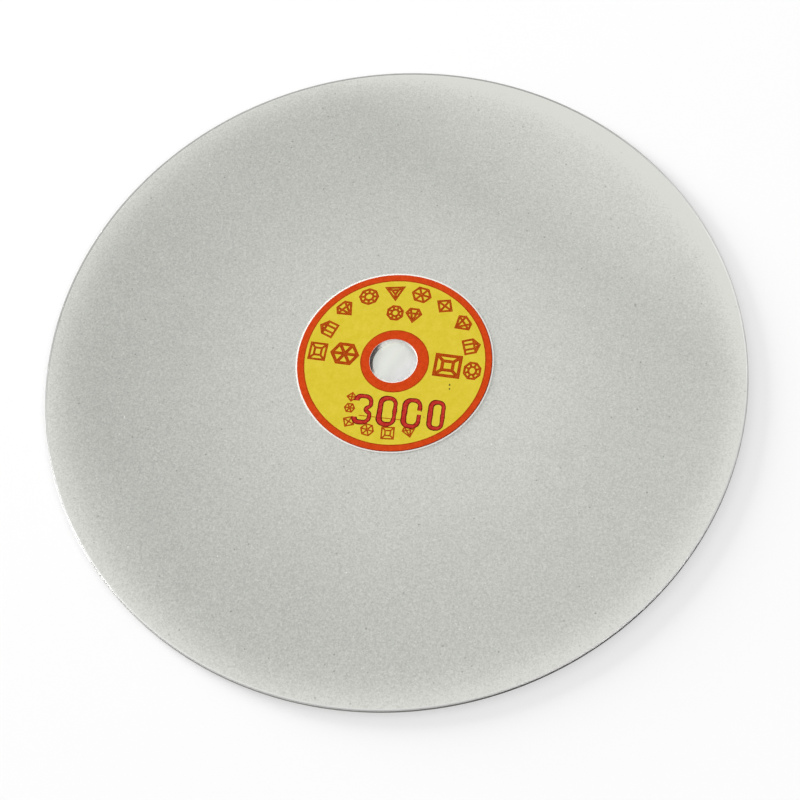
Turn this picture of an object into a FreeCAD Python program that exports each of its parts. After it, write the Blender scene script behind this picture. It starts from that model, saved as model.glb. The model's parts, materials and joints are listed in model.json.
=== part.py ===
import FreeCAD, Part
import os

# A flat lap disc, 8 inch, for a lapidary machine with a half inch arbor.
# A round steel blank carries an electroplated layer of nickel and diamond grit
# on its front face, and a round printed label glued around its bore.
#
# Frame: the origin is the centre of the rear face, on the spin axis.
# +Z points out of the grit face, and +Y to the top of the label.
# Dimensions are in millimetres.

# ---- Disc ----
DISC_DIAMETER = 200.0
DISC_THICKNESS = 1.5            # steel blank and grit layer together
GRIT_LAYER_THICKNESS = 0.1      # nickel bond with the grit held in it
GRIT_SETBACK = 0.3              # bare nickel between the grit and the rim
RIM_EDGE_RADIUS = 0.2           # tumbled edges all round the rim

# ---- Bore ----
ARBOR_DIAMETER = 12.7           # half inch shaft
ARBOR_CLEARANCE = 0.1           # on the diameter, so that the disc drops on
BORE_CHAMFER = 0.25             # both ends of the bore, left free of grit

# ---- Label, from the grit face upwards ----
LABEL_DIAMETER = 56.6
LABEL_HOLE_DIAMETER = 13.7
LABEL_HOLE_SHIFT = 0.3          # punched this far to the left of the label's centre
ADHESIVE_THICKNESS = 0.03
ADHESIVE_SETBACK = 0.15         # the glue stops short of the cut edges
FACE_STOCK_THICKNESS = 0.1      # printed and varnished paper

# ---- Worked out from the above ----
DISC_RADIUS = DISC_DIAMETER / 2
BORE_RADIUS = (ARBOR_DIAMETER + ARBOR_CLEARANCE) / 2
BLANK_THICKNESS = DISC_THICKNESS - GRIT_LAYER_THICKNESS
LABEL_RADIUS = LABEL_DIAMETER / 2
LABEL_HOLE_RADIUS = LABEL_HOLE_DIAMETER / 2
ADHESIVE_BOTTOM = DISC_THICKNESS
FACE_STOCK_BOTTOM = ADHESIVE_BOTTOM + ADHESIVE_THICKNESS

SPIN_AXIS = FreeCAD.Vector(0, 0, 1)


def flat_ring(inner_radius, outer_radius, bottom, thickness, hole_x=0.0):
    """A flat ring with square edges, round the spin axis apart from its hole."""
    disc = Part.makeCylinder(outer_radius, thickness, FreeCAD.Vector(0, 0, bottom), SPIN_AXIS)
    hole = Part.makeCylinder(inner_radius, thickness, FreeCAD.Vector(hole_x, 0, bottom), SPIN_AXIS)
    return disc.cut(hole)


def circular_edges(shape, radius):
    """The edges of a turned shape that are circles of one radius."""
    return [
        edge
        for edge in shape.Edges
        if isinstance(edge.Curve, Part.Circle) and abs(edge.Curve.Radius - radius) < 1e-6
    ]


def backing_plate():
    """The steel blank: rounded rim edges, and a bore chamfered at both ends."""
    blank = flat_ring(BORE_RADIUS, DISC_RADIUS, 0.0, BLANK_THICKNESS)
    rounded = blank.makeFillet(RIM_EDGE_RADIUS, circular_edges(blank, DISC_RADIUS))
    return rounded.makeChamfer(BORE_CHAMFER, circular_edges(rounded, BORE_RADIUS))


def diamond_layer():
    """The grit coat, over the whole flat of the front face."""
    inner_radius = BORE_RADIUS + BORE_CHAMFER
    outer_radius = DISC_RADIUS - GRIT_SETBACK
    return flat_ring(inner_radius, outer_radius, BLANK_THICKNESS, GRIT_LAYER_THICKNESS)


def label_ring(bottom, thickness, setback=0.0):
    """One layer of the label, cut to the label's outline or set back from it."""
    return flat_ring(
        LABEL_HOLE_RADIUS + setback,
        LABEL_RADIUS - setback,
        bottom,
        thickness,
        -LABEL_HOLE_SHIFT,
    )


parts = {
    "backing_plate": backing_plate(),
    "diamond_layer": diamond_layer(),
    "label_adhesive": label_ring(ADHESIVE_BOTTOM, ADHESIVE_THICKNESS, ADHESIVE_SETBACK),
    "label_face": label_ring(FACE_STOCK_BOTTOM, FACE_STOCK_THICKNESS),
}

os.makedirs("parts", exist_ok=True)
for node, shape in parts.items():
    shape.exportStep("parts/" + node + ".step")
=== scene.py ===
import json
import math
import random

import bmesh
import bpy
from mathutils import Matrix, Vector, noise
from mathutils.geometry import convex_hull_2d


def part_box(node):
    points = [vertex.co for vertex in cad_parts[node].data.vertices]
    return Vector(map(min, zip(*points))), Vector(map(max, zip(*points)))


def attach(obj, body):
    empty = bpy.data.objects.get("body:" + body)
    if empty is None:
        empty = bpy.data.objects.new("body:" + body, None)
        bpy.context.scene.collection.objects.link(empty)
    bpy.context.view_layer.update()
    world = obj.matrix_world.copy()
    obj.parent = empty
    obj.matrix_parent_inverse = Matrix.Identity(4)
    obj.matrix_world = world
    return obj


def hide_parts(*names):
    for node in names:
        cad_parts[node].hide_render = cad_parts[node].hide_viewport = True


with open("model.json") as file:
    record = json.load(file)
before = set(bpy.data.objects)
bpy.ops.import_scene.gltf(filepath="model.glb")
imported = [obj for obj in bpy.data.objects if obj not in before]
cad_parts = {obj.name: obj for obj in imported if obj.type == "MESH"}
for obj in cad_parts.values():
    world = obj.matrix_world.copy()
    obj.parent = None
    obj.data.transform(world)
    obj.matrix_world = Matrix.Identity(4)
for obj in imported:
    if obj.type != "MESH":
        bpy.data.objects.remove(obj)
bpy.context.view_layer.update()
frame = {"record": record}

# A diamond lap disc lying face up on a pale floor. All lengths are in metres.
MM = 0.001
BODY = "root"


# ---------------------------------------------------------------- sizes

PLATE_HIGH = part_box("backing_plate")[1]
GRIT_LOW, GRIT_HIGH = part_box("diamond_layer")
GLUE_LOW, GLUE_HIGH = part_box("label_adhesive")
FACE_LOW, FACE_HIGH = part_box("label_face")
MOUNTS = {mount["name"]: mount for mount in frame["record"]["mounts"]}

DISC_R = PLATE_HIGH.x
BLANK_TOP = PLATE_HIGH.z
GRIT_R = GRIT_HIGH.x
GRIT_TOP = GRIT_HIGH.z
BORE_R = MOUNTS["arbor_bore"]["dims"]["r_mm"] * MM
BORE_CHAMFER = 0.25 * MM
BORE_MOUTH_R = BORE_R + BORE_CHAMFER
RIM_EDGE_R = 0.2 * MM

LABEL_R = FACE_HIGH.x
LABEL_HOLE_R = 6.85 * MM
LABEL_HOLE_X = -0.3 * MM        # the hole is punched a little to the left
GLUE_SETBACK = LABEL_R - GLUE_HIGH.x

INK = 0.006 * MM                # one pass of printing ink
PAPER_TOP = FACE_HIGH.z - 3 * INK

ROUND = 360                     # steps round the big circles


# ---------------------------------------------------------------- outlines

def polar(radius, angle):
    return Vector((radius * math.cos(angle), radius * math.sin(angle)))


def rounded(points, closed=True, steps=4):
    """Points of a 2-D path whose corners (x, y, radius) are replaced by arcs."""
    path = []
    count = len(points)
    for i, (x, y, radius) in enumerate(points):
        here = Vector((x, y))
        inner = closed or 0 < i < count - 1
        if not radius or not inner:
            path.append(here)
            continue
        before = (Vector(points[i - 1][:2]) - here).normalized()
        after = (Vector(points[(i + 1) % count][:2]) - here).normalized()
        half = before.angle(after) / 2
        centre = here + (before + after).normalized() * radius / math.sin(half)
        start = here + before * radius / math.tan(half) - centre
        end = here + after * radius / math.tan(half) - centre
        sweep = start.angle_signed(end)
        for k in range(steps + 1):
            path.append(centre + Matrix.Rotation(-sweep * k / steps, 2) @ start)
    return path


def inset(outline, gap):
    """An anticlockwise outline drawn in from each of its sides, or out if the gap is negative."""
    count = len(outline)
    drawn = []
    for k in range(count):
        before, here, after = outline[k - 1], outline[k], outline[(k + 1) % count]
        a = (here - before).normalized()
        b = (after - here).normalized()
        inward = Vector((-a.y, a.x)) + Vector((-b.y, b.x))
        drawn.append(here + inward * gap / (1 + a.dot(b)))
    return drawn


def stays_open(outer, inner):
    """Whether no side of an inset outline has turned round."""
    count = len(outer)
    sides = [(outer[(k + 1) % count] - outer[k], inner[(k + 1) % count] - inner[k]) for k in range(count)]
    return all(a.dot(b) > 0 for a, b in sides)


# ---------------------------------------------------------------- meshes

def swept(sections, closed=True):
    """Vertices and faces of a closed section carried along a path. Open ends are capped."""
    count, width = len(sections), len(sections[0])
    vertices = [point for section in sections for point in section]
    faces = []
    for i in range(count if closed else count - 1):
        a, b = i * width, (i + 1) % count * width
        for k in range(width):
            m = (k + 1) % width
            faces.append((a + k, b + k, b + m, a + m))
    if not closed:
        last = (count - 1) * width
        faces.append(tuple(range(width)))
        faces.append(tuple(reversed(range(last, last + width))))
    return vertices, faces


def turned(profile, steps=ROUND, place=None):
    """A closed section of (r, z) turned about the spin axis. place may move each point."""
    sections = []
    for i in range(steps):
        angle = math.tau * i / steps
        if place:
            sections.append([place(r, z, angle) for r, z in profile])
        else:
            sections.append([(*polar(r, angle), z) for r, z in profile])
    return swept(sections)


def piece(name, vertices, faces, materials, replaces=(), material_of=(), sharp=35):
    """A mesh piece that rides on the disc and stands for the CAD nodes it names."""
    mesh = bpy.data.meshes.new(name)
    mesh.from_pydata([tuple(v) for v in vertices], [], faces)
    for material in materials:
        mesh.materials.append(material)
    for polygon, index in zip(mesh.polygons, material_of):
        polygon.material_index = index
    mesh.validate()
    shape = bmesh.new()
    shape.from_mesh(mesh)
    bmesh.ops.recalc_face_normals(shape, faces=shape.faces)
    shape.to_mesh(mesh)
    shape.free()
    mesh.shade_smooth()
    mesh.set_sharp_from_angle(angle=math.radians(sharp))
    made = bpy.data.objects.new(name, mesh)
    bpy.context.scene.collection.objects.link(made)
    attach(made, BODY)
    if replaces:
        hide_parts(*replaces)
    return made


class Print:
    """Flat shapes of ink, gathered into one mesh."""

    def __init__(self, bottom):
        self.bottom = bottom
        self.vertices = []
        self.faces = []
        self.material_of = []

    def add(self, vertices, faces, materials=(0,)):
        """Adds a shape; its faces take the materials by turns."""
        start = len(self.vertices)
        self.vertices += [(x, y, self.bottom + z) for x, y, z in vertices]
        self.faces += [tuple(start + i for i in face) for face in faces]
        self.material_of += [materials[k % len(materials)] for k in range(len(faces))]

    def plate(self, outline, thickness=INK):
        """A flat closed shape with upright edges."""
        count = len(outline)
        vertices = [(*p, 0) for p in outline] + [(*p, thickness) for p in outline]
        sides = [(i, (i + 1) % count, (i + 1) % count + count, i + count) for i in range(count)]
        self.add(vertices, sides + [tuple(range(count)), tuple(range(count, 2 * count))])

    def band(self, outer, inner, thickness=INK):
        """The flat band between two outlines that have the same number of corners."""
        sections = [((*a, 0), (*a, thickness), (*b, thickness), (*b, 0)) for a, b in zip(outer, inner)]
        self.add(*swept(sections))

    def stroke(self, path, widths, section, closed, materials=(0,)):
        """A line of ink along a path. section gives (share of the half width, height) pairs."""
        count = len(path)
        sections = []
        for i, (point, width) in enumerate(zip(path, widths)):
            before = path[i - 1] if closed or i else point
            after = path[(i + 1) % count] if closed or i < count - 1 else point
            along = (after - before).normalized()
            side = Vector((along.y, -along.x)) * width / 2
            sections.append([(*(point + side * share), height) for share, height in section])
        self.add(*swept(sections, closed), materials)

    def make(self, name, materials):
        return piece(name, self.vertices, self.faces, materials,
                     material_of=self.material_of)


# ---------------------------------------------------------------- materials

class Surface:
    """A material: a Principled shader and short ways to feed it patterns."""

    def __init__(self, name, roughness=0.5, metallic=0.0, specular=0.5):
        self.material = bpy.data.materials.new(name)
        self.material.use_nodes = True
        self.tree = self.material.node_tree
        self.shader = self.tree.nodes["Principled BSDF"]
        self.shader.inputs["Roughness"].default_value = roughness
        self.shader.inputs["Metallic"].default_value = metallic
        self.shader.inputs["Specular IOR Level"].default_value = specular
        self.place = self.node("ShaderNodeTexCoord").outputs["Object"]

    def node(self, kind, inputs=(), **settings):
        made = self.tree.nodes.new(kind)
        for key, value in settings.items():
            setattr(made, key, value)
        for socket, value in dict(inputs).items():
            if isinstance(value, bpy.types.NodeSocket):
                self.tree.links.new(value, made.inputs[socket])
            else:
                made.inputs[socket].default_value = value
        return made

    def math(self, operation, a, b=0.0, c=0.0):
        return self.node("ShaderNodeMath", {0: a, 1: b, 2: c}, operation=operation).outputs[0]

    def add(self, tone, pattern, amount):
        """The tone, changed by a pattern that lies around 0.5."""
        return self.math("MULTIPLY_ADD", self.math("SUBTRACT", pattern, 0.5), amount, tone)

    def noise(self, size, detail=2.0, roughness=0.5, turn=0.0):
        """Soft random spots around 0.5. size is in metres, or three sizes for stretched spots."""
        sizes = size if isinstance(size, tuple) else (size, size, size)
        inputs = {"Vector": self.place, "Scale": sizes, "Rotation": (0, 0, turn)}
        cells = self.node("ShaderNodeMapping", inputs, vector_type="TEXTURE").outputs[0]
        inputs = {"Vector": cells, "Scale": 1.0, "Detail": detail, "Roughness": roughness}
        return self.node("ShaderNodeTexNoise", inputs).outputs["Fac"]

    def remap(self, value, from_low, from_high, to_low, to_high):
        inputs = {
            "Value": value,
            "From Min": from_low,
            "From Max": from_high,
            "To Min": to_low,
            "To Max": to_high,
        }
        return self.node("ShaderNodeMapRange", inputs).outputs[0]

    def radius(self):
        """Distance from the spin axis, in metres."""
        inputs = {0: self.place, 1: (1, 1, 0)}
        flat = self.node("ShaderNodeVectorMath", inputs, operation="MULTIPLY").outputs[0]
        return self.node("ShaderNodeVectorMath", {0: flat}, operation="LENGTH").outputs["Value"]

    def across(self, direction):
        """Distance from the spin axis along a direction, in metres."""
        inputs = {0: self.place, 1: (*direction, 0)}
        return self.node("ShaderNodeVectorMath", inputs, operation="DOT_PRODUCT").outputs["Value"]

    def curve(self, value, points):
        """A smooth lookup: points are (position, value), both from 0 to 1."""
        made = self.node("ShaderNodeValToRGB", {"Fac": value})
        ramp = made.color_ramp
        ramp.interpolation = "B_SPLINE"
        while len(ramp.elements) < len(points):
            ramp.elements.new(0.5)
        for element, (position, level) in zip(ramp.elements, points):
            element.position = position
            element.color = (level, level, level, 1)
        return made.outputs["Color"]

    def dots(self, cell, radius, share, stretch=1.0, turn=0.0):
        """1 on small round dots, one in some cells of that size, and 0 elsewhere."""
        inputs = {"Vector": self.place, "Scale": (cell, cell * stretch, cell), "Rotation": (0, 0, turn)}
        grid = self.node("ShaderNodeMapping", inputs, vector_type="TEXTURE").outputs[0]
        cells = self.node("ShaderNodeTexVoronoi", {"Vector": grid, "Scale": 1.0})
        parts = self.node("ShaderNodeSeparateColor", {"Color": cells.outputs["Color"]})
        chosen = self.math("LESS_THAN", parts.outputs["Red"], share)
        inside = self.remap(cells.outputs["Distance"], radius / cell, 0.5 * radius / cell, 0, 1)
        return self.math("MULTIPLY", chosen, inside)

    def colour(self, factor, low, high):
        """Colours the surface between two colours."""
        mixed = self.node("ShaderNodeMix", data_type="RGBA")
        self.tree.links.new(factor, mixed.inputs["Factor"])
        mixed.inputs[6].default_value = (*low, 1)
        mixed.inputs[7].default_value = (*high, 1)
        self.tree.links.new(mixed.outputs[2], self.shader.inputs["Base Color"])

    def roughness(self, factor):
        self.tree.links.new(factor, self.shader.inputs["Roughness"])

    def bump(self, height, depth):
        """Relief from a 0 to 1 pattern, depth in metres."""
        made = self.node("ShaderNodeBump", {"Height": height, "Distance": depth})
        self.tree.links.new(made.outputs["Normal"], self.shader.inputs["Normal"])


# The coat's tones, round the disc and along it, are fitted to the photo's brightness, so they hold
# some of its light as well as its colour.
GRIT_TONE_BY_RADIUS = (         # share of the disc's radius, tone
    (0.0, 0.74),
    (0.36, 0.73),
    (0.50, 0.65),
    (0.64, 0.57),
    (0.80, 0.51),
    (0.88, 0.52),
    (0.94, 0.59),
    (1.0, 0.95),
)
GRIT_PAINTED_LIGHT_POOLS = (                  # painted pools of light: direction, start and end in disc radii, amount
    (math.radians(59), 0.58, 0.95, 0.38),
    (math.radians(219), 0.80, 0.97, 0.10),
    (math.radians(128), 0.40, 0.90, 0.10),
)
# The side where painted light makes the coat paler towards the rim.
PAINTED_LIGHT_SIDE = polar(1, math.radians(-28))
PAINTED_LIGHT_RISE = 0.125               # painted light: change of tone from the middle to the rim on that side
CLOUDS = ((30 * MM, 3, 0.10), (5 * MM, 2, 0.05))    # size, detail, amount
GRAIN_SIZE = 0.8 * MM
FINE_GRAIN_SIZE = 0.42 * MM
GRAIN_AMOUNT, FINE_GRAIN_AMOUNT = 0.33, 0.80
RUB_TURN = math.radians(9)      # the direction of the faint rub marks, from +Y
RUB_AMOUNT = 0.10
# The pits are sunk in relief and darkened in colour by painted shade.
PIT_PAINTED_SHADE, PIT_RELIEF = -0.46, -0.8
PAINTED_GLINT_AMOUNT = 0.30
GRIT_DARK, GRIT_PALE = (0.317, 0.320, 0.300), (0.790, 0.800, 0.746)


def diamond_coat():
    """Matt nickel full of fine grit: cloudy, grainy, faintly rubbed, paler towards the rim, with painted
    light and shade.
    """
    s = Surface("diamond_coat", metallic=0.3)
    tone = s.curve(s.math("DIVIDE", s.radius(), DISC_R), GRIT_TONE_BY_RADIUS)
    tone = s.math("MULTIPLY_ADD", s.across(PAINTED_LIGHT_SIDE), PAINTED_LIGHT_RISE / DISC_R, tone)
    for angle, start, end, amount in GRIT_PAINTED_LIGHT_POOLS:
        reach = s.across(polar(1, angle))
        tone = s.math("ADD", tone, s.remap(reach, start * DISC_R, end * DISC_R, 0, amount))
    for size, detail, amount in CLOUDS:
        tone = s.add(tone, s.noise(size, detail=detail), amount)
    grain = s.noise(GRAIN_SIZE, detail=1)
    tone = s.add(tone, grain, GRAIN_AMOUNT)
    tone = s.add(tone, s.noise(FINE_GRAIN_SIZE, detail=1, roughness=0.8), FINE_GRAIN_AMOUNT)
    rubbed_places = s.remap(s.noise(40 * MM, detail=1), 0.48, 0.62, 0, 1)
    rubs = s.noise((0.45 * MM, 14 * MM, 1.0), detail=2, turn=RUB_TURN)
    lines = s.math("MULTIPLY", s.remap(rubs, 0.60, 0.72, 0, 1), rubbed_places)
    tone = s.math("MULTIPLY_ADD", lines, RUB_AMOUNT, tone)
    small_pits = s.dots(3 * MM, 0.32 * MM, 0.4)
    long_pits = s.dots(10 * MM, 0.5 * MM, 0.12, stretch=1.8, turn=0.5)
    pits = s.math("MAXIMUM", small_pits, long_pits)
    tone = s.math("MULTIPLY_ADD", pits, PIT_PAINTED_SHADE, tone)
    # Painted glints: small pale dots in the coat's colour.
    painted_glints = s.dots(2.6 * MM, 0.3 * MM, 0.1)
    tone = s.math("MULTIPLY_ADD", painted_glints, PAINTED_GLINT_AMOUNT, tone)
    s.colour(tone, GRIT_DARK, GRIT_PALE)
    s.roughness(s.remap(grain, 0.3, 0.7, 0.5, 0.7))
    relief = s.add(grain, s.noise(0.3 * MM, detail=1), 0.6)
    relief = s.math("MULTIPLY_ADD", pits, PIT_RELIEF, relief)
    s.bump(relief, 0.006 * MM)
    return s.material


def nickel_plate():
    """Dull nickel over rolled steel: fine rolling lines, scuffs, faint stains."""
    s = Surface("nickel_plate", metallic=0.9)
    rolling = s.noise((0.25 * MM, 30 * MM, 0.4 * MM), detail=4)
    marks = s.remap(s.noise((14 * MM, 0.3 * MM, MM), detail=2, turn=0.9), 0.66, 0.74, 0, 1)
    tone = s.add(s.noise(22 * MM, detail=4), rolling, 0.5)
    tone = s.math("MULTIPLY_ADD", marks, 0.25, tone)
    s.colour(tone, (0.44, 0.44, 0.42), (0.74, 0.74, 0.71))
    s.roughness(s.remap(tone, 0.2, 0.9, 0.42, 0.24))
    s.bump(s.math("MULTIPLY_ADD", marks, 0.4, rolling), 0.008 * MM)
    return s.material


# The rim and the bore have a pale and a dark side, fitted to the photo. Their pale sides are painted
# highlight and reflection, and their dark sides painted shade, over the metal's own tone. How much
# of that is their metal, and how much is reflection or shadow, isn't known.
PAINTED_HIGHLIGHT_SIDE = polar(1, math.radians(-55))
PAINTED_SHADE_WALL_SIDE = polar(1, math.radians(-36))
PALE_BORE_SIDE = polar(1, math.radians(-2))
BROWN_END, PALE_START = -5.9 * MM, -4.6 * MM    # the painted shade fades out between these, towards the bore's pale side, from the spin axis


def bright_edge():
    """Nickel on the rim's rounded shoulders, paler on one side by a painted highlight."""
    s = Surface("bright_edge", metallic=0.3)
    wear = s.noise(3 * MM, detail=4)
    painted_side_light = s.remap(s.across(PAINTED_HIGHLIGHT_SIDE), -0.6 * DISC_R, 0.1 * DISC_R, 0.05, 0.95)
    s.colour(s.add(painted_side_light, wear, 0.1), (0.36, 0.36, 0.35), (0.98, 0.98, 0.96))
    s.roughness(s.remap(wear, 0.3, 0.7, 0.22, 0.16))
    return s.material


def cut_steel_painted_shade():
    """The rim's sheared wall: dull steel with fine upright lines, dark with painted shade, darkest on one
    side.
    """
    s = Surface("cut_steel_painted_shade", specular=0.05)
    shear = s.noise((0.2 * MM, 0.2 * MM, 4 * MM), detail=3)
    tone = s.remap(s.across(PAINTED_SHADE_WALL_SIDE), 0.6 * DISC_R, 0.98 * DISC_R, 0.9, 0.05)
    tone = s.add(s.add(tone, shear, 0.3), s.noise(8 * MM, detail=2), 0.2)
    s.colour(tone, (0.02, 0.02, 0.018), (0.30, 0.30, 0.28))
    s.roughness(s.remap(shear, 0.3, 0.7, 0.9, 0.7))
    s.bump(shear, 0.01 * MM)
    return s.material


def bore_steel_painted_shade():
    """Bare steel round the bore: painted shade makes it dark brown on its left; painted light, pale on its
    right.
    """
    s = Surface("bore_steel_painted_shade", roughness=0.6, metallic=0.3, specular=0.2)
    stain = s.noise(0.8 * MM, detail=3)
    painted_side_light = s.remap(s.across(PALE_BORE_SIDE), BROWN_END, PALE_START, 0.1, 0.95)
    s.colour(s.add(painted_side_light, stain, 0.3), (0.02, 0.006, 0.005), (0.92, 0.90, 0.87))
    s.bump(stain, 0.01 * MM)
    return s.material


def nodule_nickel():
    """Bright nickel on the grains that stand proud."""
    s = Surface("nodule_nickel", metallic=0.5)
    grain = s.noise(0.12 * MM, detail=2)
    s.colour(grain, (0.80, 0.80, 0.78), (0.98, 0.98, 0.95))
    s.roughness(s.remap(grain, 0.3, 0.7, 0.25, 0.45))
    return s.material


def glue():
    """Clear rubbery adhesive, a little milky."""
    s = Surface("label_glue", roughness=0.35)
    cloud = s.noise(1.5 * MM, detail=3)
    s.colour(cloud, (0.55, 0.52, 0.42), (0.74, 0.71, 0.60))
    s.bump(cloud, 0.01 * MM)
    return s.material


def face_stock():
    """White label paper: faint fibres on the cut edge and margin."""
    s = Surface("label_paper", roughness=0.6)
    fibres = s.noise((0.12 * MM, 0.5 * MM, 0.02 * MM), detail=3)
    s.colour(fibres, (0.80, 0.78, 0.73), (0.95, 0.94, 0.91))
    s.bump(fibres, 0.006 * MM)
    return s.material


def ink(name, low, high, blotch=1.2 * MM, sheen=0.4):
    """Printing ink: uneven solid colour over a very fine screen."""
    s = Surface(name, roughness=sheen, specular=0.12)
    tone = s.add(s.noise(blotch, detail=4, roughness=0.6), s.noise(0.45 * MM, detail=1), 0.5)
    s.colour(s.remap(tone, 0.3, 0.7, 0, 1), low, high)
    s.bump(s.noise(0.6 * MM, detail=1), 0.003 * MM)
    return s.material


FLOOR_UNDER_DISC, FLOOR_AROUND = (0.92, 0.95, 0.87), (0.60, 0.60, 0.60)
FLOOR_GLOW = 0.13               # painted light: the floor's glow under the disc, where only its hole shows the floor
FLOOR_GLOW_AROUND = 0.24        # painted light: added to it beyond the disc
HOLE_SHADE_SIDE = polar(1, math.radians(-26))   # painted shade: the floor in the hole is greyer on this side


def floor_paint():
    """Matt white paper with a painted glow, stronger round the disc. In the disc's hole it has painted
    shade on one side.
    """
    s = Surface("floor", roughness=0.85, specular=0.2)
    clear = s.remap(s.radius(), 0.5 * DISC_R, 0.9 * DISC_R, 0, 1)
    shaded = s.remap(s.across(HOLE_SHADE_SIDE), -3 * MM, 4 * MM, 0, 1)
    tone = s.add(s.math("MAXIMUM", clear, shaded), s.noise(0.4, detail=2), 0.04)
    s.colour(tone, FLOOR_UNDER_DISC, FLOOR_AROUND)
    glow = s.math("MULTIPLY_ADD", clear, FLOOR_GLOW_AROUND, FLOOR_GLOW)
    s.shader.inputs["Emission Color"].default_value = (1, 1, 1, 1)
    s.tree.links.new(glow, s.shader.inputs["Emission Strength"])
    return s.material


STEEL = nickel_plate()
EDGE = bright_edge()
WALL = cut_steel_painted_shade()
BORE_SHADED_STEEL = bore_steel_painted_shade()
GRIT = diamond_coat()
NODULE = nodule_nickel()
GLUE = glue()
PAPER = face_stock()
YELLOW = ink("ink_yellow", (0.675, 0.53, 0.03), (0.735, 0.59, 0.05), blotch=2.5 * MM)
RED = ink("ink_red", (0.56, 0.045, 0.003), (0.67, 0.066, 0.008))
RUST = ink("ink_rust", (0.35, 0.035, 0.001), (0.46, 0.065, 0.002))
# Painted shade, not ink: the dark line along part of the label's edge.
PAINTED_SHADE_RED = ink("painted_shade_dark_red", (0.08, 0.006, 0.004), (0.16, 0.014, 0.006))
STAMP = ink("stamp_ink", (0.38, 0.014, 0.008), (0.62, 0.045, 0.032), 0.8 * MM, sheen=0.3)
STAMP_EDGE = ink("stamp_ink_edge", (0.035, 0.002, 0.001), (0.19, 0.008, 0.004), 0.5 * MM, sheen=0.3)
BLACK = ink("ink_black", (0.01, 0.01, 0.01), (0.04, 0.035, 0.03))


# ---------------------------------------------------------------- disc

SOFT_EDGE = 0.04 * MM
PAINTED_HIGHLIGHT_ARC = math.radians(200)  # the middle of an arc where the painted highlight on the rim's shoulder reaches deeper
PAINTED_HIGHLIGHT_REACH = math.cos(math.radians(25))
BRIGHT_DEEP, BRIGHT_THIN = 0.9, 0.15    # the painted highlight's depth on the shoulder in that arc and elsewhere, in edge radii
PLATE_MATERIALS = [STEEL, EDGE, WALL, BORE_SHADED_STEEL]
FLAT, SHOULDER, DARK_WALL_SHADE, BORE = range(4)    # places in that list


def plate_finish(r, z, angle):
    """Which of the plate's materials a spot has. Painted shade covers most of the rim's shoulder, less in
    one arc.
    """
    if r < BORE_MOUTH_R:
        return BORE
    if r > GRIT_R:
        bright = BRIGHT_DEEP if math.cos(angle - PAINTED_HIGHLIGHT_ARC) > PAINTED_HIGHLIGHT_REACH else BRIGHT_THIN
        return DARK_WALL_SHADE if z < BLANK_TOP - bright * RIM_EDGE_R else SHOULDER
    return FLAT


def make_plate():
    """The steel blank: chamfered bore, rounded rim."""
    profile = rounded([
        (BORE_R, BORE_CHAMFER, SOFT_EDGE),
        (BORE_MOUTH_R, 0, SOFT_EDGE),
        (DISC_R, 0, RIM_EDGE_R),
        (DISC_R, BLANK_TOP, RIM_EDGE_R),
        (BORE_MOUTH_R, BLANK_TOP, SOFT_EDGE),
        (BORE_R, BLANK_TOP - BORE_CHAMFER, SOFT_EDGE),
    ], steps=6)
    vertices, faces = turned(profile)
    middles = [(a + b) / 2 for a, b in zip(profile, profile[1:] + profile[:1])]
    angles = [math.tau * (i + 0.5) / ROUND for i in range(ROUND)]
    finishes = [plate_finish(r, z, angle) for angle in angles for r, z in middles]
    piece("steel_blank", vertices, faces, PLATE_MATERIALS,
          ["backing_plate"], material_of=finishes)


GRIT_STEPS_OUT = 90
GRIT_WAVE = 0.008 * MM          # how far the plated face wanders below its top plane
LONG_WAVE, SHORT_WAVE = 9 * MM, 3 * MM
WAVE_GAP, WAVE_RISE = MM, 4 * MM    # the waves start this far from the label, and grow over this length
WAVE_FALL = MM                  # they die out over this length before the edge
GRIT_EDGE_RUN = 0.4 * MM        # how far in from its edge the plating starts to roll over
GRIT_EDGE_STEPS = 8
GRIT_EDGE_WANDER = 0.004 * MM   # unevenness of the plating's edge at the rim
EDGE_WAVE = 2 * MM
ROLL_START_R = GRIT_R - GRIT_EDGE_RUN
BARE_LAND_R = LABEL_HOLE_R + 0.35 * MM
COAT, LAND, ROLL = range(3)     # places in the list of the grit's materials


def unevenness(x, y, layer, length):
    """Smooth noise from -1 to 1 over the disc. Each layer has a pattern of its own."""
    return noise.noise(Vector((x, y, layer)) / length)


def grit_place(r, z, angle):
    """Waves in the plated face, nil beside the label and the edge, and an uneven edge."""
    x, y = polar(r, angle)
    free = min(1, max(0, (r - LABEL_R - WAVE_GAP) / WAVE_RISE), max(0, (ROLL_START_R - r) / WAVE_FALL))
    if z > GRIT_LOW.z:
        wave = unevenness(x, y, 0, LONG_WAVE) + 0.5 * unevenness(x, y, 1, SHORT_WAVE)
        z -= free * GRIT_WAVE * (1 + wave) / 2
    if r > ROLL_START_R:
        r -= GRIT_EDGE_WANDER * (1 + unevenness(x, y, 5, EDGE_WAVE)) / 2
    return (*polar(r, angle), z)


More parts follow.
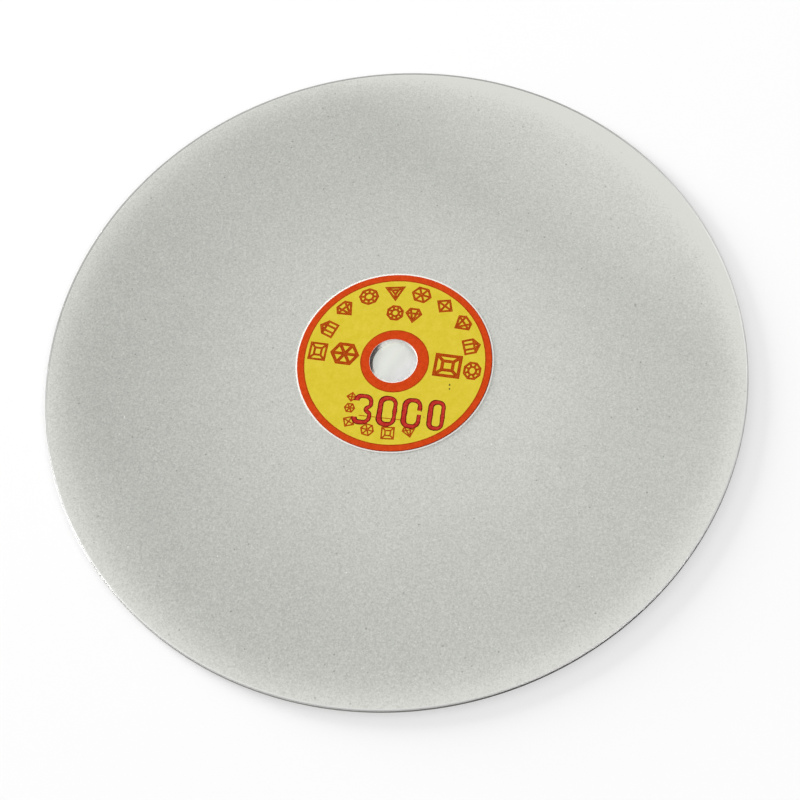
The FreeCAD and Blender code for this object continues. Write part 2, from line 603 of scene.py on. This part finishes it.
def make_grit():
    """The plated diamond layer: one sheet with many rings of points on its face."""
    profile = [Vector((BORE_MOUTH_R, GRIT_LOW.z))]
    for k in range(GRIT_EDGE_STEPS):
        roll = math.pi / 2 * (1 - k / GRIT_EDGE_STEPS)
        rise = (GRIT_TOP - GRIT_LOW.z) * math.cos(roll)
        profile.append(Vector((ROLL_START_R + GRIT_EDGE_RUN * math.sin(roll), GRIT_LOW.z + rise)))
    for k in range(GRIT_STEPS_OUT + 1):
        profile.append(Vector((ROLL_START_R + (BARE_LAND_R - ROLL_START_R) * k / GRIT_STEPS_OUT, GRIT_TOP)))
    profile.append(Vector((BORE_MOUTH_R, GRIT_TOP)))
    vertices, faces = turned(profile, place=grit_place)
    sides = [COAT] + [ROLL] * GRIT_EDGE_STEPS + [COAT] * GRIT_STEPS_OUT + [LAND] * 2
    piece("grit_face", vertices, faces, [GRIT, BORE_SHADED_STEEL, EDGE], ["diamond_layer"],
          material_of=sides * ROUND)


NODULE_SIZES = (                # how many, smallest and largest radius in mm
    (700, 0.05, 0.10),
    (90, 0.10, 0.17),
    (16, 0.18, 0.26),
)
NODULE_SIDES = 7
NODULE_RISE = 0.35              # height over radius
NODULE_RINGS = ((1.0, 0.0), (0.75, 0.6))    # shares of its radius and of its height
NODULE_UNEVEN = (0.75, 1.15)
NODULE_SUNK = 0.012 * MM
NODULES_FROM = LABEL_R + 0.6 * MM
NODULES_TO = GRIT_R - 0.4 * MM


def make_nodules():
    """Single coarse grains plated over: small domes scattered on the face."""
    chance = random.Random(7)
    vertices, faces = [], []
    base = GRIT_TOP - NODULE_SUNK
    n = NODULE_SIDES
    for count, smallest, largest in NODULE_SIZES:
        for _ in range(count):
            r = math.sqrt(chance.uniform(NODULES_FROM ** 2, NODULES_TO ** 2))
            x, y = polar(r, chance.uniform(0, math.tau))
            size = chance.uniform(smallest, largest) * MM
            rise = NODULE_RISE * size
            turn = chance.uniform(0, math.tau)
            start = len(vertices)
            for share, height in NODULE_RINGS:
                for k in range(n):
                    reach = share * size * chance.uniform(*NODULE_UNEVEN)
                    spot = polar(reach, turn + math.tau * k / n)
                    vertices.append((x + spot.x, y + spot.y, base + height * rise))
            vertices.append((x, y, base + rise))
            for k in range(n):
                m = (k + 1) % n
                faces.append((start + k, start + m, start + n + m, start + n + k))
                faces.append((start + n + k, start + n + m, start + 2 * n))
            faces.append(tuple(reversed(range(start, start + n))))
    piece("grit_nodules", vertices, faces, [NODULE], sharp=60)


# ---------------------------------------------------------------- label

GLUE_EDGE, STOCK_EDGE = 0.01 * MM, 0.015 * MM    # radii of the layers' edges


def label_layer(name, setback, bottom, top, edge, material, node):
    """One layer of the label: a flat ring whose hole is off centre."""
    hole_r, outer_r = LABEL_HOLE_R + setback, LABEL_R - setback
    # The section is drawn one metre wide, and place() moves its two ends to the hole and the outline.
    profile = rounded([(0, bottom, edge), (1, bottom, edge), (1, top, edge), (0, top, edge)])

    def place(share, z, angle):
        if share < 0.5:
            hole = polar(hole_r + share, angle)
            return (hole.x + LABEL_HOLE_X, hole.y, z)
        return (*polar(outer_r - (1 - share), angle), z)

    vertices, faces = turned(profile, place=place)
    piece(name, vertices, faces, [material], [node])


def make_label_layers():
    """The glue and the white face stock."""
    label_layer("label_glue", GLUE_SETBACK, GLUE_LOW.z, GLUE_HIGH.z, GLUE_EDGE, GLUE,
                "label_adhesive")
    label_layer("label_stock", 0, FACE_LOW.z, PAPER_TOP, STOCK_EDGE, PAPER,
                "label_face")


RED_BAND_OUTER_R = 27.9 * MM    # leaves the white margin of the die cut
RED_BAND_INNER_R = 25.8 * MM
RED_RING_R = 9.85 * MM
RED_RING_HOLE_R = 6.88 * MM
RED_RING_HOLE_X = -0.35 * MM
OVERLAP = 0.3 * MM              # red over the yellow's edge, where it looks darker
RED_THICKNESS = 1.5 * INK
SHADE_WIDTH = 0.24 * MM         # painted shade: a dark line along part of the red band's outer edge
SHADE_ENDS = 0.15               # share of that width left at its ends
SHADE_FROM, SHADE_TO = math.radians(-135), math.radians(65)
SHADE_STEPS = 160
FLAT_SECTION = ((-1, 0), (-1, 2 * INK), (1, 2 * INK), (1, 0))


def circle(radius, centre_x=0.0):
    centre = Vector((centre_x, 0))
    return [centre + polar(radius, math.tau * i / ROUND) for i in range(ROUND)]


def make_ground_inks():
    """The yellow ground, the red band and ring round its edges, and painted shade along part of the band's
    edge.
    """
    yellow = Print(PAPER_TOP)
    yellow.band(circle(RED_BAND_INNER_R), circle(RED_RING_R))
    yellow.make("print_yellow", [YELLOW])

    red = Print(PAPER_TOP)
    red.band(circle(RED_BAND_OUTER_R), circle(RED_BAND_INNER_R + OVERLAP), RED_THICKNESS)
    red.band(circle(RED_RING_R - OVERLAP), circle(RED_RING_HOLE_R, RED_RING_HOLE_X), RED_THICKNESS)
    red.make("print_red", [RED])

    overlaps = Print(PAPER_TOP)
    overlaps.band(circle(RED_BAND_INNER_R + OVERLAP), circle(RED_BAND_INNER_R), 2 * INK)
    overlaps.band(circle(RED_RING_R), circle(RED_RING_R - OVERLAP), 2 * INK)
    overlaps.make("print_overlaps", [RUST])

    shade = Print(PAPER_TOP)
    turns = [k / SHADE_STEPS for k in range(SHADE_STEPS + 1)]
    middle_r = RED_BAND_OUTER_R - SHADE_WIDTH / 2
    path = [polar(middle_r, SHADE_FROM + (SHADE_TO - SHADE_FROM) * t) for t in turns]
    widths = [SHADE_WIDTH * (SHADE_ENDS + (1 - SHADE_ENDS) * math.sin(math.pi * t)) for t in turns]
    shade.stroke(path, widths, FLAT_SECTION, closed=False)
    shade.make("painted_shade_line", [PAINTED_SHADE_RED])


# Icons are line drawings of cut stones, as facets in a box about one unit wide.

def ring_points(sides, radius, turn=0.5):
    return [tuple(polar(radius, math.tau * (k + turn) / sides)) for k in range(sides)]


def facets_between(outer, inner):
    count = len(outer)
    return [[outer[k], outer[(k + 1) % count], inner[(k + 1) % count], inner[k]] for k in range(count)]


def brilliant():
    """A round cut seen from the side: a crown over a pavilion."""
    table, girdle, culet = 0.46, 0.12, (0, -0.5)
    left, right = (-0.5, girdle), (0.5, girdle)
    foot_left, foot_right = (-0.17, girdle), (0.17, girdle)
    crown_left, crown_right = (-0.28, table), (0.28, table)
    return [
        [left, foot_left, crown_left],
        [crown_left, foot_left, foot_right, crown_right],
        [crown_right, foot_right, right],
        [left, culet, foot_left],
        [foot_left, culet, foot_right],
        [foot_right, culet, right],
    ]


def star_cut():
    """A round stone seen from above: eight facets round a table."""
    table = ring_points(8, 0.26)
    return facets_between(ring_points(8, 0.53), table) + [table]


def step_cut():
    """An oblong stone seen from above: a frame of facets round a table."""
    girdle, table = [[(-a, -a), (a, -a), (a, a), (-a, a)] for a in (0.5, 0.22)]
    return facets_between(girdle, table) + [table]


def kite():
    """A lozenge in four triangles."""
    corners = [(0.5, 0), (0, 0.5), (-0.5, 0), (0, -0.5)]
    return [[(0, 0), corners[k], corners[(k + 1) % 4]] for k in range(4)]


def crystal():
    """A pointed crystal: three tall sides under three slopes."""
    edges = (-0.42, -0.16, 0.16, 0.42)
    facets = []
    for a, b in zip(edges, edges[1:]):
        facets.append([(a, -0.5), (b, -0.5), (b, 0.16), (a, 0.16)])
        facets.append([(a, 0.16), (b, 0.16), (0, 0.5)])
    return facets


def trillion():
    """A three-cornered stone seen from above."""
    outer = ring_points(3, 0.58, turn=0.25)
    inner = ring_points(3, 0.22, turn=0.25)
    return facets_between(outer, inner) + [inner]


def hexagon():
    """A six-sided stone in six triangles."""
    corners = ring_points(6, 0.54, turn=0)
    return [[(0, 0), corners[k], corners[(k + 1) % 6]] for k in range(6)]


HAIRLINE = 0.01 * MM            # the gap that keeps neighbouring facets' lines apart


def print_icon(sheet, facets, place, width, height, turn, line):
    """Prints an icon: a line round each of its facets, and round it all."""
    spin = Matrix.Rotation(turn, 2)
    sized = [[spin @ Vector((u * width, v * height)) + place for u, v in facet] for facet in facets]
    for facet in sized:
        outer = inset(facet, HAIRLINE)
        inner = inset(facet, line / 2)
        if stays_open(outer, inner):
            sheet.band(outer, inner)
        else:
            sheet.plate(outer)
    corners = list(dict.fromkeys(tuple(corner) for facet in sized for corner in facet))
    hull = [Vector(corners[i]) for i in convex_hull_2d(corners)]
    sheet.band(inset(hull, -line / 2), inset(hull, -HAIRLINE))


ICONS = {
    "B": brilliant,
    "S": star_cut,
    "T": step_cut,
    "K": kite,
    "C": crystal,
    "V": trillion,
    "H": hexagon,
}
UPPER_ARC = "TCBSVHKBCS"        # ten icons over the top, by their letters above
UPPER_ARC_R = 22.4 * MM
UPPER_ICON = (5.0 * MM, 4.5 * MM)
LOWER_ARC = "KHTB"
LOWER_ARC_R = 22.3 * MM
LOWER_ICON = (3.4 * MM, 3.4 * MM)
LOWER_PITCH = math.radians(15.2)
LOWER_MIDDLE = math.radians(-92)
SIDE_ICON = (6.9 * MM, 6.3 * MM)
TOP_ICON = (4.3 * MM, 4.3 * MM)
SMALL_ICON = (2.6 * MM, 2.6 * MM)
BOLD_LINE = 0.95 * MM
MEDIUM_LINE = 0.64 * MM
FINE_LINE = 0.42 * MM
SINGLE_ICONS = (                # letter, place in mm, size, line
    ("H", (-14.6, 0.3), SIDE_ICON, BOLD_LINE),
    ("T", (15.2, 0.6), SIDE_ICON, BOLD_LINE),
    ("S", (-2.7, 15.2), TOP_ICON, MEDIUM_LINE),
    ("B", (2.7, 15.2), TOP_ICON, MEDIUM_LINE),
    ("K", (-9.9, -12.7), SMALL_ICON, FINE_LINE),
    ("H", (-9.9, -16.1), SMALL_ICON, FINE_LINE),
)
RULE = ((-6.9, -18.12), (6.5, -17.82), (6.5, -17.6), (-6.9, -17.9))   # corners of a thin line, in mm


def make_icons():
    """The rust-red marks: arcs of icons, two large ones, two at the top, and small ones."""
    sheet = Print(PAPER_TOP + INK)
    for k, letter in enumerate(UPPER_ARC):
        angle = math.pi * (1 - k / (len(UPPER_ARC) - 1))
        print_icon(sheet, ICONS[letter](), polar(UPPER_ARC_R, angle), *UPPER_ICON,
                   angle - math.pi / 2, MEDIUM_LINE)
    for k, letter in enumerate(LOWER_ARC):
        angle = LOWER_MIDDLE + (k - (len(LOWER_ARC) - 1) / 2) * LOWER_PITCH
        print_icon(sheet, ICONS[letter](), polar(LOWER_ARC_R, angle), *LOWER_ICON,
                   angle + math.pi / 2, FINE_LINE)
    for letter, place, size, line in SINGLE_ICONS:
        print_icon(sheet, ICONS[letter](), Vector(place) * MM, *size, 0, line)
    sheet.plate([Vector(corner) * MM for corner in RULE])
    sheet.make("print_icons", [RUST])


# The stamped grit number.

DIGIT_HEIGHT = 8.0 * MM         # between the middles of the top and bottom strokes
DIGIT_WIDTH = 4.2 * MM
DIGIT_PITCH = 6.95 * MM
DIGIT_CORNER = 1.8 * MM
LAST_DIGIT_NARROWER = 0.84
THREE_CORNER = 0.75 * DIGIT_CORNER
THREE_WAIST = 0.7 * MM
STROKE_WIDTH = 1.45 * MM
STROKE_LEAN = 0.14              # the strokes are wider on the left of each digit
STROKE_UNEVEN = 0.2
STROKE_WANDER = 1.6 * MM
STAMP_TURN = math.radians(2.7)
STAMP_PLACE = Vector((4.3, -15.5)) * MM
STAMP_FLAT = 1.7 * INK
STAMP_BEAD = 2.0 * INK          # the ridge where the stamp squeezed the ink out
BEAD_AT, FLAT_TO = 0.86, 0.62   # shares of the half width
STROKE_SECTION = (
    (-1, 0),
    (-BEAD_AT, STAMP_BEAD),
    (-FLAT_TO, STAMP_FLAT),
    (FLAT_TO, STAMP_FLAT),
    (BEAD_AT, STAMP_BEAD),
    (1, 0),
)
STROKE_MATERIALS = (1, 1, 0, 1, 1, 0)   # 0 is the ink and 1 its darker edge, for each side of the section
BESIDE_GAP = slice(1, -3)       # what is left of the third digit's outline beside its gap


def fine(path, closed, step=0.25 * MM):
    """The same path with points close together, so that its width can wander."""
    spots = []
    ends = path[1:] + path[:1] if closed else path[1:]
    for a, b in zip(path, ends):
        parts = max(1, round((b - a).length / step))
        spots += [a.lerp(b, k / parts) for k in range(parts)]
    if not closed:
        spots.append(path[-1])
    return spots


def zero(narrower=1.0):
    w, h, c = narrower * DIGIT_WIDTH / 2, DIGIT_HEIGHT / 2, DIGIT_CORNER * narrower
    corners = [(w, 0, 0), (w, -h, c), (-w, -h, c), (-w, h, c), (w, h, c)]
    return fine(rounded(corners, steps=6), True)


def three():
    w, h, c = DIGIT_WIDTH / 2, DIGIT_HEIGHT / 2, DIGIT_CORNER
    corners = [
        (-w, 0.62 * h, 0),
        (-w, h, THREE_CORNER),
        (w, h, c),
        (w, 0.3 * h, THREE_WAIST),
        (0.2 * w, 0, THREE_WAIST),
        (w, -0.3 * h, THREE_WAIST),
        (w, -h, c),
        (-w, -h, THREE_CORNER),
        (-w, -0.62 * h, 0),
    ]
    return fine(rounded(corners, closed=False, steps=6), False)


def make_stamp():
    """Four digits stamped by hand on top of the print, not quite level."""
    sheet = Print(PAPER_TOP + INK)
    spin = Matrix.Rotation(STAMP_TURN, 2)
    digits = (                  # outline, whether it is closed
        (three(), False),
        (zero(), True),
        (zero()[BESIDE_GAP], False),
        (zero(LAST_DIGIT_NARROWER), True),
    )
    for column, (path, closed) in enumerate(digits):
        place = Vector(((column - (len(digits) - 1) / 2) * DIGIT_PITCH, 0))
        moved = [spin @ (p + place) + STAMP_PLACE for p in path]
        widths = []
        for inside, spot in zip(path, moved):
            lean = -STROKE_LEAN * 2 * inside.x / DIGIT_WIDTH
            uneven = STROKE_UNEVEN * noise.noise(Vector((*spot, 0)) / STROKE_WANDER)
            widths.append(STROKE_WIDTH * (1 + lean + uneven))
        sheet.stroke(moved, widths, STROKE_SECTION, closed, STROKE_MATERIALS)
    sheet.make("stamped_number", [STAMP, STAMP_EDGE])


SPECKS = (                      # place and radius in mm
    (16.8, -5.2, 0.2),
    (16.95, -6.4, 0.18),
    (10.3, -14.3, 0.14),
    (11.4, -16.0, 0.1),
)
SPECK_CORNERS = 9
SPECK_UNEVEN, SPECK_TALLER = 0.35, 1.5
SPECK_THICKNESS = 1.9 * INK


def make_specks():
    """Specks of stray black ink."""
    sheet = Print(PAPER_TOP + INK)
    for x, y, size in SPECKS:
        outline = []
        for k in range(SPECK_CORNERS):
            reach = size * (1 + SPECK_UNEVEN * math.sin(2.7 * k))
            spot = polar(reach, math.tau * k / SPECK_CORNERS)
            outline.append(Vector((x + spot.x, y + SPECK_TALLER * spot.y)) * MM)
        sheet.plate(outline, SPECK_THICKNESS)
    sheet.make("ink_specks", [BLACK])


make_plate()
make_grit()
make_nodules()
make_label_layers()
make_ground_inks()
make_icons()
make_stamp()
make_specks()


# ---------------------------------------------------------------- camera, floor, light

CAMERA_PLACE = Vector((71.6, -174.8, 380.5)) * MM
CAMERA_AIM = Vector((30.5, -7.93, 1.5)) * MM
CAMERA_ROLL = math.radians(-5.26)
CAMERA_LENS = 66.76             # millimetres, on a sensor 36 mm wide
CAMERA_SENSOR = 36
CAMERA_SHIFT_X = -0.12
CAMERA_NEAREST = 0.01


def make_camera():
    """Looking down from the front right, a little tilted to one side."""
    data = bpy.data.cameras.new("camera")
    data.lens = CAMERA_LENS
    data.sensor_width = CAMERA_SENSOR
    data.shift_x = CAMERA_SHIFT_X
    data.clip_start = CAMERA_NEAREST
    camera = bpy.data.objects.new("camera", data)
    aim = (CAMERA_AIM - CAMERA_PLACE).to_track_quat("-Z", "Y").to_matrix().to_4x4()
    camera.matrix_world = Matrix.Translation(CAMERA_PLACE) @ aim @ Matrix.Rotation(CAMERA_ROLL, 4, "Z")
    bpy.context.scene.collection.objects.link(camera)
    bpy.context.scene.camera = camera


FLOOR_REACH = 40.0              # from the disc to each side, so that low views end in the tent
FLOOR_DROP = 0.02 * MM


def make_floor():
    """A wide flat floor just under the disc."""
    signs = ((-1, -1), (1, -1), (1, 1), (-1, 1))
    corners = [(x * FLOOR_REACH, y * FLOOR_REACH, -FLOOR_DROP) for x, y in signs]
    mesh = bpy.data.meshes.new("floor")
    mesh.from_pydata(corners, [], [(0, 1, 2, 3)])
    mesh.materials.append(floor_paint())
    floor = bpy.data.objects.new("floor", mesh)
    bpy.context.scene.collection.objects.link(floor)


# Name, azimuth and elevation in degrees, distance, size, watts, whether it lights matt surfaces, and
# whether it shows in shiny ones.
# The key lamps aren't mirrored, so they throw the shadow but leave no glare on the rim.
LAMPS = (
    ("key", 154, 7.5, 2.6, (0.9, 0.5), 155.0, True, False),
    ("high_key", 154, 28, 2.0, (0.8, 0.8), 9.0, True, False),
    ("left_strip", 194, 25, 1.5, (0.8, 0.3), 6.0, False, True),
    ("right_strip", -28, 38, 1.5, (1.2, 0.35), 6.5, True, True),
    ("fill", 60, 45, 1.4, (0.8, 0.5), 1.0, True, True),
)


def make_lamp(name, azimuth, elevation, distance, size, power, lights, mirrored):
    """A soft rectangular lamp that faces the disc."""
    data = bpy.data.lights.new(name, "AREA")
    data.shape = "RECTANGLE"
    data.size, data.size_y = size
    data.energy = power
    up, round_ = math.radians(elevation), math.radians(azimuth)
    place = Vector((*polar(math.cos(up), round_), math.sin(up))) * distance
    lamp = bpy.data.objects.new(name, data)
    lamp.location = place
    lamp.rotation_euler = (-place).to_track_quat("-Z", "Y").to_euler()
    lamp.visible_camera = False
    lamp.visible_diffuse = lights
    lamp.visible_glossy = mirrored
    bpy.context.scene.collection.objects.link(lamp)


TENT = (                        # sine of the elevation, brightness
    (0.0, 0.85),
    (0.12, 0.60),
    (0.35, 0.47),
    (0.7, 0.42),
    (1.0, 0.40),
)


def make_world():
    """A white light tent, brightest at the horizon."""
    world = bpy.data.worlds.new("studio")
    world.use_nodes = True
    nodes, links = world.node_tree.nodes, world.node_tree.links
    place = nodes.new("ShaderNodeTexCoord")
    height = nodes.new("ShaderNodeSeparateXYZ")
    links.new(place.outputs["Generated"], height.inputs[0])
    ramp = nodes.new("ShaderNodeValToRGB")
    links.new(height.outputs["Z"], ramp.inputs["Fac"])
    ramp.color_ramp.interpolation = "EASE"
    for _ in TENT[2:]:
        ramp.color_ramp.elements.new(0.5)
    for element, (position, level) in zip(ramp.color_ramp.elements, TENT):
        element.position = position
        element.color = (level, level, level, 1)
    links.new(ramp.outputs["Color"], nodes["Background"].inputs["Color"])
    bpy.context.scene.world = world


make_camera()
make_floor()
make_world()
for lamp in LAMPS:
    make_lamp(*lamp)
bpy.context.scene.view_settings.view_transform = "Standard"
